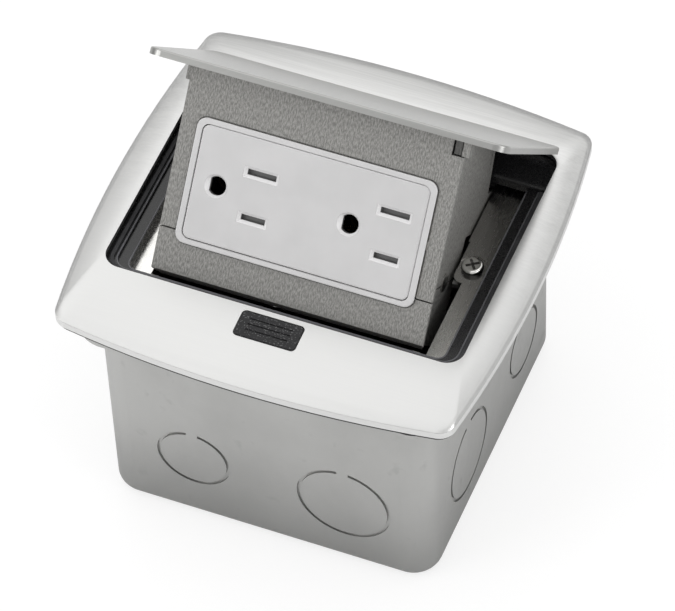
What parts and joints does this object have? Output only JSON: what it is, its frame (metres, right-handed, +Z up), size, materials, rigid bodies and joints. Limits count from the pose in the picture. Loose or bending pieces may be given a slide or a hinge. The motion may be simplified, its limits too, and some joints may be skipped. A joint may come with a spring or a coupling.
{
  "type": "floor socket box",
  "caption": "Square floor box with a domed brushed cover whose hinged lid pops up with a two-outlet socket, released by a push button.",
  "frame": {"origin": "centre of the cover in plan, at the underside of the box", "axes": "+Z up out of the floor, +Y towards the hinge at the rear, +X to the right as the outlets are faced"},
  "size_m": [0.125, 0.1214, 0.13],
  "materials": {
    "box_steel": "matte drawn zinc-plated steel",
    "ear_steel": "zinc-plated sheet",
    "ground_green": "green painted screw and boss",
    "gasket_rubber": "matte black",
    "cover_steel": "satin brushed stainless steel",
    "frame_black": "satin black moulding",
    "seal_rubber": "black rubber bead",
    "tray_steel": "bright zinc-plated sheet",
    "screw_steel": "bright plated",
    "clamp_steel": "zinc-plated",
    "axle_steel": "ground steel rod",
    "clip_steel": "spring steel",
    "spring_steel": "spring steel",
    "pad_rubber": "black rubber",
    "button_black": "fine-grained black",
    "button_spring_steel": "spring steel",
    "bar_steel": "zinc-plated sheet",
    "guide_steel": "plated rivets",
    "latch_spring_steel": "spring steel",
    "lid_steel": "satin brushed stainless steel",
    "nut_steel": "plated",
    "housing_grey": "finely textured warm grey",
    "wiring_cover_grey": "finely textured warm grey",
    "cover_screw_steel": "plated",
    "bezel_plastic": "light grey-white, slight gloss",
    "face_plastic": "light grey-white, slight gloss",
    "body_plastic": "grey moulding",
    "strap_steel": "plated strip",
    "strap_screw_steel": "plated",
    "shutter_grey": "dark grey",
    "shutter_spring_steel": "spring steel",
    "contact_brass": "stamped brass",
    "terminal_silver": "nickel-plated",
    "terminal_brass": "brass"
  },
  "bodies": {
    "box": {"floor_box": "box_steel", "mounting_ears": "ear_steel", "ground_screw": "ground_green", "cover_gasket": "gasket_rubber", "cover_plate": "cover_steel", "inner_frame": "frame_black", "lid_seal": "seal_rubber", "mounting_tray": "tray_steel", "tray_screws": "screw_steel", "clamp_screws": "clamp_steel", "hinge_axle": "axle_steel", "axle_clips": "clip_steel", "torsion_springs": "spring_steel", "stop_pads": "pad_rubber", "button_springs": "button_spring_steel", "bar_guides": "guide_steel", "latch_springs": "latch_spring_steel"},
    "pop_up": {"pop_up_lid": "lid_steel", "lid_nuts": "nut_steel", "module_housing": "housing_grey", "wiring_cover": "wiring_cover_grey", "cover_screws": "cover_screw_steel", "receptacle_bezel": "bezel_plastic", "receptacle_face": "face_plastic", "receptacle_body": "body_plastic", "receptacle_strap": "strap_steel", "receptacle_screws": "strap_screw_steel", "shutter_spring_left": "shutter_spring_steel", "shutter_spring_right": "shutter_spring_steel", "neutral_contacts": "contact_brass", "hot_contacts": "contact_brass", "ground_contact": "contact_brass", "neutral_terminal_screws": "terminal_silver", "hot_terminal_screws": "terminal_brass"},
    "button": {"latch_button": "button_black"},
    "latch": {"latch_bar": "bar_steel"},
    "left_shutter": {"shutter_left": "shutter_grey"},
    "right_shutter": {"shutter_right": "shutter_grey"}
  },
  "joints": [
    {"name": "pop_up_hinge", "type": "hinge", "parent": "box", "child": "pop_up", "pos_m": [0, 0.0387, 0.0624], "axis": [1, 0, 0], "range_deg": [0, 47.5], "stiffness_Nm_per_rad": 0.12, "springref_deg": -85.94, "deforming": ["torsion_springs"]},
    {"name": "button_press", "type": "slide", "parent": "box", "child": "button", "axis": [0, 0, -1], "range_m": [0, 0.002], "stiffness_N_per_m": 400, "springref_m": -0.001, "deforming": ["button_springs"]},
    {"name": "latch_slide", "type": "slide", "parent": "box", "child": "latch", "axis": [0, -1, 0], "range_m": [0, 0.002], "stiffness_N_per_m": 400, "springref_m": -0.001, "deforming": ["latch_springs"]},
    {"name": "left_shutter_slide", "type": "slide", "parent": "pop_up", "child": "left_shutter", "axis": [0, 0.6129, 0.7902], "range_m": [0, 0.0028], "stiffness_N_per_m": 60, "springref_m": -0.002, "deforming": ["shutter_spring_left"]},
    {"name": "right_shutter_slide", "type": "slide", "parent": "pop_up", "child": "right_shutter", "axis": [0, 0.6129, 0.7902], "range_m": [0, 0.0028], "stiffness_N_per_m": 60, "springref_m": -0.002, "deforming": ["shutter_spring_right"]}
  ],
  "couplings": [
    {"joint": "latch_slide", "follows": "button_press", "ratio": 1}
  ]
}
